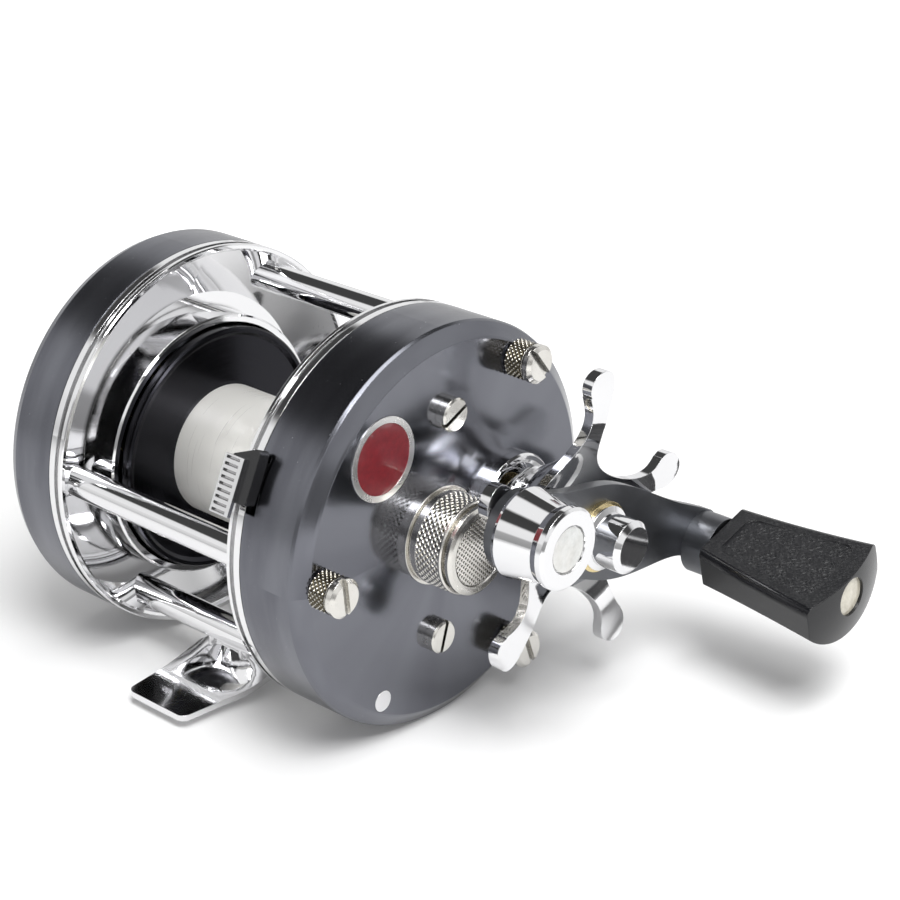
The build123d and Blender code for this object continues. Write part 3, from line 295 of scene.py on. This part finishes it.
def plastic(name, colour, roughness, grain_strength):
    """Moulded plastic with a faint moulded texture."""
    made, tree, shader = material(name, Base_Color=(*colour, 1), Roughness=roughness)
    at = place(tree)
    cloud = noise(tree, at, scale=160.0, detail=3.0)
    texture = noise(tree, at, scale=1500.0)
    lighter = tuple(min(1.0, c * 1.35 + 0.004) for c in colour)
    feed(tree, shader, Base_Color=mixed(tree, cloud, (*colour, 1), (*lighter, 1)),
         Roughness=ramp(tree, cloud, 0.3, 0.7, roughness * 0.85, roughness * 1.2),
         Normal=bump(tree, texture, 0.02 * MM, grain_strength, soft_edges(tree, MOULDED_EDGE)))
    return made


def grip_moulding(name, colour, tilt):
    """Black grip: glossy sides and edges, fine satin grain on the face that takes the thumb."""
    made, tree, shader = material(name, Base_Color=(*colour, 1))
    upward = (0.0, -math.sin(tilt), math.cos(tilt))
    normal = node(tree, "ShaderNodeTexCoord").outputs["Normal"]
    facing = vector_maths(tree, "DOT_PRODUCT", normal, upward)["Value"]
    top = ramp(tree, facing, 0.94, 0.99)

    at = place(tree)
    wander = node(tree, "ShaderNodeTexNoise", {"Vector": at, "Scale": 900.0}).outputs["Color"]
    wander = vector_maths(tree, "MULTIPLY", wander, (CELL_WANDER,) * 3)[0]
    bent = vector_maths(tree, "ADD", at, wander)[0]
    cells = node(tree, "ShaderNodeTexVoronoi", {"Vector": bent, "Scale": 1900.0},
                 feature="DISTANCE_TO_EDGE").outputs["Distance"]
    grain_height = maths(tree, "MULTIPLY", ramp(tree, cells, 0.0, 0.3), top)

    cloud = noise(tree, at, scale=160.0, detail=3.0)
    rough = maths(tree, "ADD", ramp(tree, cloud, 0.3, 0.7, 0.12, 0.17), maths(tree, "MULTIPLY", top, 0.20))
    feed(tree, shader, Roughness=rough,
         Normal=bump(tree, grain_height, 0.035 * MM, 0.8, soft_edges(tree, MOULDED_EDGE)))
    return made


def enamel(name, colour):
    """Glassy enamel over metal, slightly mottled beneath its clear coat."""
    made, tree, shader = material(name, Base_Color=(*colour, 1), Roughness=0.35,
                                  Coat_Weight=1.0, Coat_Roughness=0.04)
    cloud = noise(tree, place(tree), scale=900.0, detail=4.0, roughness=0.7)
    darker = tuple(c * 0.72 for c in colour)
    feed(tree, shader, Base_Color=mixed(tree, ramp(tree, cloud, 0.35, 0.65), (*darker, 1), (*colour, 1)))
    return made


def pearl(name, dull, clear):
    """Mother-of-pearl or cream inlay: cloudy, with soft warm drifts."""
    warm = (0.84, 0.78, 0.70, 1)
    made, tree, shader = material(name, Roughness=0.22, Coat_Weight=0.7, Coat_Roughness=0.06)
    at = place(tree)
    cloud = noise(tree, at, scale=420.0, detail=5.0, roughness=0.65)
    tint = noise(tree, at, scale=190.0)
    base = mixed(tree, ramp(tree, cloud, 0.3, 0.7), dull, clear)
    feed(tree, shader, Base_Color=mixed(tree, ramp(tree, tint, 0.5, 0.8, 0.0, 0.35), base, warm))
    return made


def fibre(name):
    """Fibre of the drag washers."""
    made, tree, shader = material(name, Roughness=0.8)
    cloth = noise(tree, place(tree), scale=4000.0)
    feed(tree, shader, Base_Color=mixed(tree, cloth, (0.05, 0.045, 0.04, 1), (0.12, 0.10, 0.08, 1)))
    return made


PANEL_TILT = math.radians(15)      # of the grip's thumb face, round X
PLATE = middle("frame_ring_gear")
SPOOL = middle("spool_arbor")
FINISHES = {
    "chrome_plate": bright_metal("chrome_plate", (0.82, 0.82, 0.83), 0.035, 0.04, painted_shade=0.75, crowned=True),
    "grey_anodised": anodised("grey_anodised", PLATE.y, PLATE.z),
    "nickel": bright_metal("nickel", (0.74, 0.725, 0.69), 0.16, 0.10, haze=0.4, painted_shade=0.9),
    "steel": bright_metal("steel", (0.62, 0.62, 0.62), 0.22, 0.10),
    "brass": bright_metal("brass", (0.80, 0.66, 0.36), 0.20, 0.10, haze=0.6),
    "pale_metal": bright_metal("pale_metal", (0.86, 0.85, 0.84), 0.25, 0.05, edge=INLAY_EDGE),
    "badge_red": enamel("badge_red", (0.22, 0.010, 0.018)),
    "silver_arbor": turned_metal("silver_arbor", (0.95, 0.94, 0.90), 0.34, SPOOL.y, SPOOL.z, 0.0015 * MM,
                                 metallic=0.5),
    "black_metal": turned_metal("black_metal", (0.022, 0.022, 0.026), 0.20, SPOOL.y, SPOOL.z, 0.003 * MM),
    "dark_arm": bright_metal("dark_arm", (0.155, 0.16, 0.172), 0.32, 0.08),
    "black_plastic": plastic("black_plastic", (0.010, 0.010, 0.011), 0.24, 0.2),
    "grip_plastic": grip_moulding("grip_plastic", (0.0075, 0.0077, 0.0092), PANEL_TILT),
    "cream_plastic": pearl("cream_plastic", (0.50, 0.46, 0.36, 1), (0.78, 0.74, 0.62, 1)),
    "pearl": pearl("pearl", (0.60, 0.61, 0.59, 1), (0.86, 0.87, 0.86, 1)),
    "drag_fibre": fibre("drag_fibre"),
}
for obj in NODES.values():
    slot = obj.material_slots[0]
    slot.material = FINISHES[slot.material.name]


# ---------------------------------------------------------------- turned and knurled pieces
TURNED_COLUMNS = 120
TURNED_SHARP = math.radians(25)


def mesh_piece(name, points, faces, slot_name, body, heights=()):
    """New smooth-shaded piece that rides on a body and takes its finish from one of the record's slots.
    heights are a knurled piece's, 0 to 1 at each point; its finish paints shade into the low ones."""
    mesh = bpy.data.meshes.new(name)
    mesh.from_pydata(points, [], faces)
    if heights:
        depths = mesh.attributes.new(PIT, "FLOAT", "POINT")
        depths.data.foreach_set("value", [1.0 - height for height in heights])
    mesh.materials.append(FINISHES[slot_name])
    mesh.update()
    piece = bpy.data.objects.new(name, mesh)
    bpy.context.scene.collection.objects.link(piece)
    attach(piece, body)
    return piece


def crest(turns):
    """1 on each whole turn, falling evenly to 0 half-way between."""
    return abs(1 - 2 * (turns % 1.0))


def flat_ridges(u, v):
    """Crossed ridges with flat tops round sunk square pits."""
    return max(min(1.0, max(0.0, (crest(turns) - 0.3) / 0.3)) for turns in (u, v))


def pyramids(u, v):
    """Pointed knurling between crossed grooves."""
    return min(1 - crest(u), 1 - crest(v))


def round_point(axis, x, radius, j, columns):
    """Point j of a ring of columns points at x, round the line along X through axis."""
    angle = 2 * math.pi * j / columns
    return (x, axis.y + radius * math.cos(angle), axis.z + radius * math.sin(angle))


def tube_faces(rows, columns):
    """Quads between neighbouring rings of columns points."""
    faces = []
    for i in range(rows):
        for j in range(columns):
            after = (j + 1) % columns
            faces.append((i * columns + j, i * columns + after,
                          (i + 1) * columns + after, (i + 1) * columns + j))
    return faces


def knurled_barrel(name, node_name, body, span, radii, around, pitch, pattern, samples=7):
    """Nickel knurling as real relief round a node's own axle line: span runs along X, radii are the
    floor's and the crests', and around is how many ridges go round."""
    axis = middle(node_name)
    columns = around * samples
    rows = max(2, round((span[1] - span[0]) / pitch * samples))
    points, heights = [], []
    for i in range(rows + 1):
        x = span[0] + (span[1] - span[0]) * i / rows
        for j in range(columns):
            turn = j / samples
            height = pattern(turn + x / pitch, turn - x / pitch)
            heights.append(height)
            points.append(round_point(axis, x, radii[0] + (radii[1] - radii[0]) * height, j, columns))
    return mesh_piece(name, points, tube_faces(rows, columns), "nickel", body, heights)


def knurled_disc(name, node_name, body, x, height, radius, spacing, samples):
    """Pitted nickel end face: crossed ridges on a disc that looks towards +X."""
    axis = middle(node_name)
    reach = math.ceil(radius / spacing * samples) + 1
    step = spacing / samples
    index, points, faces, heights = {}, [], [], []
    for i in range(-reach, reach + 1):
        for j in range(-reach, reach + 1):
            away = math.hypot(i * step, j * step)
            shrink = min(1.0, radius / away) if away else 1.0
            y, z = i * step * shrink, j * step * shrink
            heights.append(flat_ridges((y + z) / spacing, (y - z) / spacing))
            index[i, j] = len(points)
            points.append((x + height * heights[-1], axis.y + y, axis.z + z))
    for i in range(-reach, reach):
        for j in range(-reach, reach):
            inside = [math.hypot(p * step, q * step) < radius for p in (i, i + 1) for q in (j, j + 1)]
            if any(inside):
                faces.append((index[i, j], index[i + 1, j], index[i + 1, j + 1], index[i, j + 1]))
    return mesh_piece(name, points, faces, "nickel", body, heights)


def turned_piece(name, node_name, body, slot_name, start, profile):
    """Lathe-turned shell round a node's own axle line. profile holds millimetres: along X from
    start, and outwards."""
    axis = middle(node_name)
    points = []
    for along, radius in profile:
        for j in range(TURNED_COLUMNS):
            points.append(round_point(axis, start + along * MM, radius * MM, j, TURNED_COLUMNS))
    piece = mesh_piece(name, points, tube_faces(len(profile) - 1, TURNED_COLUMNS), slot_name, body)
    piece.data.set_sharp_from_angle(angle=TURNED_SHARP)
    return piece


COLLAR_RISE = 4.1 * MM
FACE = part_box("gear_cup")[1].x - COLLAR_RISE        # outer face of the cup, from which its collar rises

# The spool tension cap: a barrel with a sunk band for its knurling, and a disc with a sunk end face.
CAP_BAND = (1.87, 6.38)
CAP_BARREL = ((0.35, 6.35), (0.35, 7.25), (0.65, 7.55), (1.87, 7.55), (1.87, 7.28), (6.38, 7.28),
              (6.38, 7.55), (6.70, 7.55), (6.90, 7.35), (6.90, 6.5), (7.30, 6.5))
CAP_DISC = ((7.30, 6.0), (7.30, 7.0), (7.50, 7.2), (8.10, 7.2), (8.50, 6.7), (8.50, 5.8), (8.20, 5.6),
            (8.20, 0.01))
CAP_KNURL_RADII, CAP_KNURLS, CAP_KNURL_PITCH = (7.30 * MM, 7.57 * MM), 45, 1.06 * MM
CAP_END = 8.21 * MM                     # floor of the end face's knurling, beyond FACE
CAP_END_HEIGHT, CAP_END_RADIUS, CAP_END_SPACING = 0.13 * MM, 5.5 * MM, 0.92 * MM

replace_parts(turned_piece("cap_barrel", "tension_cap", "cap", "nickel", FACE, CAP_BARREL), "tension_cap")
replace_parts(turned_piece("cap_disc", "tension_cap", "cap", "nickel", FACE, CAP_DISC), "tension_cap_disc")
knurled_barrel("cap_knurl", "tension_cap", "cap", (FACE + CAP_BAND[0] * MM, FACE + CAP_BAND[1] * MM),
               CAP_KNURL_RADII, CAP_KNURLS, CAP_KNURL_PITCH, flat_ridges)
knurled_disc("cap_end_knurl", "tension_cap", "cap", FACE + CAP_END, CAP_END_HEIGHT, CAP_END_RADIUS,
             CAP_END_SPACING, samples=10)

# The star's bell-shaped root, behind its dish.
STAR_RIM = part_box("star_wheel")[1].x
STAR_BELL = ((-4.1, 10.25), (-5.2, 10.1), (-6.2, 9.6), (-7.2, 8.9), (-8.6, 8.1), (-9.8, 7.55),
             (-10.9, 7.2), (-11.3, 6.9), (-11.4, 6.4), (-11.4, 5.5))
turned_piece("star_bell", "drive_shaft", "star", "chrome_plate", STAR_RIM, STAR_BELL)

# The thumb screws' knurled heads.
SCREW_SPAN = (FACE + 0.42 * MM, FACE + 3.55 * MM)
SCREW_RADII, SCREW_KNURLS, SCREW_PITCH = (2.88 * MM, 3.12 * MM), 22, 0.85 * MM
for place_name in ("top", "rear", "front"):
    knurled_barrel("screw_knurl_" + place_name, "thumb_screw_" + place_name, "screw_" + place_name,
                   SCREW_SPAN, SCREW_RADII, SCREW_KNURLS, SCREW_PITCH, pyramids, samples=6)


# ---------------------------------------------------------------- leather grain in the thumb panel
PANEL_END_GAP, PANEL_BORDER, PANEL_CORNER = 3.45 * MM, 2.45 * MM, 1.8 * MM
PANEL_DEPTH, PANEL_FADE = 0.34 * MM, 0.5 * MM
GRAIN_HEIGHT, GRAIN_SIZE, GRAIN_STEP = 0.07 * MM, 0.80 * MM, 0.125 * MM
GRAIN_WANDER, GRAIN_CREASE = 0.35, 0.42
GRIP_LENGTH = 24.4 * MM
GRIP_HALF, GRIP_END_HALF = 6.6 * MM, 10.1 * MM      # thumb face's half width, inner and outer end
GRIP_TOP, GRIP_END_TOP = 4.5 * MM, 3.6 * MM         # its height above the spindle's axis, likewise


def grain(x, y):
    """Height of moulded leather from 0 in the creases up, with cells of uneven size."""
    wander = GRAIN_WANDER * field.noise(Vector((x, y, 3.0)) / (2.2 * GRAIN_SIZE))
    at = Vector((x / GRAIN_SIZE + wander, 0.8 * y / GRAIN_SIZE - wander, 0.0))
    near, far = field.voronoi(at)[0][:2]
    pillow = min(1.0, (far - near) / GRAIN_CREASE)
    return pillow * pillow * (3 - 2 * pillow) * (0.75 + 0.5 * field.noise(at * 0.7))


def thumb_panel():
    """Grained sheet with rounded corners, just above the floor of the grip's recess. The grain fades
    out at its edges."""
    axle = middle("knob_spindle")
    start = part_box("grip")[0].x
    across = Vector((0, math.cos(PANEL_TILT), math.sin(PANEL_TILT)))
    upward = Vector((0, -math.sin(PANEL_TILT), math.cos(PANEL_TILT)))
    first, last = PANEL_BORDER, GRIP_LENGTH - PANEL_END_GAP
    columns, rows = round((last - first) / GRAIN_STEP), round(2 * GRIP_HALF / GRAIN_STEP)
    points, faces = [], []
    for i in range(columns + 1):
        x = first + (last - first) * i / columns
        half = GRIP_HALF + (GRIP_END_HALF - GRIP_HALF) * x / GRIP_LENGTH - PANEL_BORDER
        top = GRIP_TOP + (GRIP_END_TOP - GRIP_TOP) * x / GRIP_LENGTH - PANEL_DEPTH
        inset = max(PANEL_CORNER - (x - first), PANEL_CORNER - (last - x), 0.0)
        half -= PANEL_CORNER - math.sqrt(max(0.0, PANEL_CORNER ** 2 - inset ** 2))
        for j in range(rows + 1):
            y = half * (2 * j / rows - 1)
            edge = min(1.0, (half - abs(y)) / PANEL_FADE, (x - first) / PANEL_FADE, (last - x) / PANEL_FADE)
            rise = GRAIN_HEIGHT * grain(x, y) * edge
            points.append(tuple(Vector((start + x, axle.y, axle.z)) + across * y + upward * (top + rise)))
    for i in range(columns):
        for j in range(rows):
            corner = i * (rows + 1) + j
            faces.append((corner, corner + rows + 1, corner + rows + 2, corner + 1))
    return mesh_piece("grip_grain", points, faces, "grip_plastic", "grip_body")


thumb_panel()


# ---------------------------------------------------------------- studio
FLOOR_SPAN = 3.0
GLOW_NEAR, GLOW_FAR = 0.07, 0.28        # distances from the reel between which the floor's glow grows
SEEN_GLOW = (0.10, 0.75)                # near and far, as the camera sees it
MIRRORED_GLOW = (0.05, 0.20)            # the same in reflections

# What polished metal mirrors: (elevation in degrees, brightness) up the sky, on the near side of
# the room and on the far side. NEAR_AZIMUTH is where the near side's middle lies.
NEAR_SIDE = ((-2, 1.0), (0, 0.36), (14, 0.42), (19, 0.96), (37, 1.0), (42, 0.06), (61, 0.05), (67, 1.0))
FAR_SIDE = ((-2, 1.0), (2, 0.80), (10, 0.97), (34, 0.94), (39, 0.06), (61, 0.06), (67, 1.0), (80, 1.0))
NEAR_AZIMUTH = math.radians(55)
SIDE_BLEND = 0.35
AMBIENT = (0.26, 0.26, 0.26, 1)
WHITE = (1, 1, 1, 1)

# Name, azimuth and elevation in degrees, distance and side in metres, watts.
LAMPS = (("overhead", 90, 80, 0.8, 0.50, 2.4),
         ("window", 60, 58, 0.9, 0.40, 6.4))


def make_floor():
    """Pale floor that keeps the shadow: it glows a little where seen, more away from the reel."""
    mesh = bpy.data.meshes.new("floor")
    half, level = FLOOR_SPAN / 2, CAD_LOW.z
    mesh.from_pydata([(-half, -half, level), (half, -half, level), (half, half, level), (-half, half, level)],
                     [], [(0, 1, 2, 3)])
    floor = bpy.data.objects.new("floor", mesh)
    bpy.context.scene.collection.objects.link(floor)
    made, tree, shader = material("floor", Base_Color=(0.86, 0.86, 0.86, 1), Roughness=0.9)
    rays = node(tree, "ShaderNodeLightPath").outputs
    away = node(tree, "ShaderNodeVectorMath", {0: place(tree)}, operation="LENGTH").outputs["Value"]
    seen = maths(tree, "MULTIPLY", rays["Is Camera Ray"], ramp(tree, away, GLOW_NEAR, GLOW_FAR, *SEEN_GLOW))
    mirror_rays = maths(tree, "MAXIMUM", rays["Is Glossy Ray"], rays["Is Transmission Ray"])
    mirrored = maths(tree, "MULTIPLY", mirror_rays, ramp(tree, away, GLOW_NEAR, GLOW_FAR, *MIRRORED_GLOW))
    shader.inputs["Emission Color"].default_value = WHITE
    tree.links.new(maths(tree, "ADD", seen, mirrored), shader.inputs["Emission Strength"])
    mesh.materials.append(made)


def make_light(name, azimuth, elevation, distance, side, power):
    """Square lamp that faces the reel."""
    lamp = bpy.data.lights.new(name, "AREA")
    lamp.shape = "RECTANGLE"
    lamp.size = side
    lamp.size_y = side
    lamp.energy = power
    light = bpy.data.objects.new(name, lamp)
    away = direction(azimuth, elevation)
    light.location = away * distance
    light.rotation_mode = "QUATERNION"
    light.rotation_quaternion = away.to_track_quat("Z", "Y")
    bpy.context.scene.collection.objects.link(light)


def sky_ramp(tree, elevation, stops):
    """Brightness by elevation, eased between the stops."""
    made = node(tree, "ShaderNodeValToRGB", {0: ramp(tree, elevation, -90, 90)})
    colours = made.color_ramp
    colours.interpolation = "EASE"
    while len(colours.elements) < len(stops):
        colours.elements.new(0.5)
    for element, (rise, shade) in zip(colours.elements, stops):
        element.position = (rise + 90) / 180
        element.color = (shade, shade, shade, 1)
    return made.outputs[0]


def make_world():
    """White to the camera, an even glow for the lighting, and a softly banded room in reflections."""
    world = bpy.data.worlds.new("studio")
    bpy.context.scene.world = world
    world.use_nodes = True
    tree = world.node_tree
    sight = node(tree, "ShaderNodeTexCoord").outputs["Generated"]
    x, y, z = node(tree, "ShaderNodeSeparateXYZ", {0: sight}).outputs
    elevation = maths(tree, "DEGREES", maths(tree, "ARCSINE", z))
    facing = maths(tree, "ADD", maths(tree, "MULTIPLY", x, math.sin(NEAR_AZIMUTH)),
                   maths(tree, "MULTIPLY", y, -math.cos(NEAR_AZIMUTH)))
    room = mixed(tree, ramp(tree, facing, -SIDE_BLEND, SIDE_BLEND), sky_ramp(tree, elevation, FAR_SIDE),
                 sky_ramp(tree, elevation, NEAR_SIDE))
    rays = node(tree, "ShaderNodeLightPath").outputs
    white = maths(tree, "MAXIMUM", rays["Is Camera Ray"], rays["Is Transmission Ray"])
    ambient = mixed(tree, rays["Is Glossy Ray"], AMBIENT, room)
    tree.links.new(mixed(tree, white, ambient, WHITE), tree.nodes["Background"].inputs["Color"])


make_floor()
make_world()
for lamp_settings in LAMPS:
    make_light(*lamp_settings)
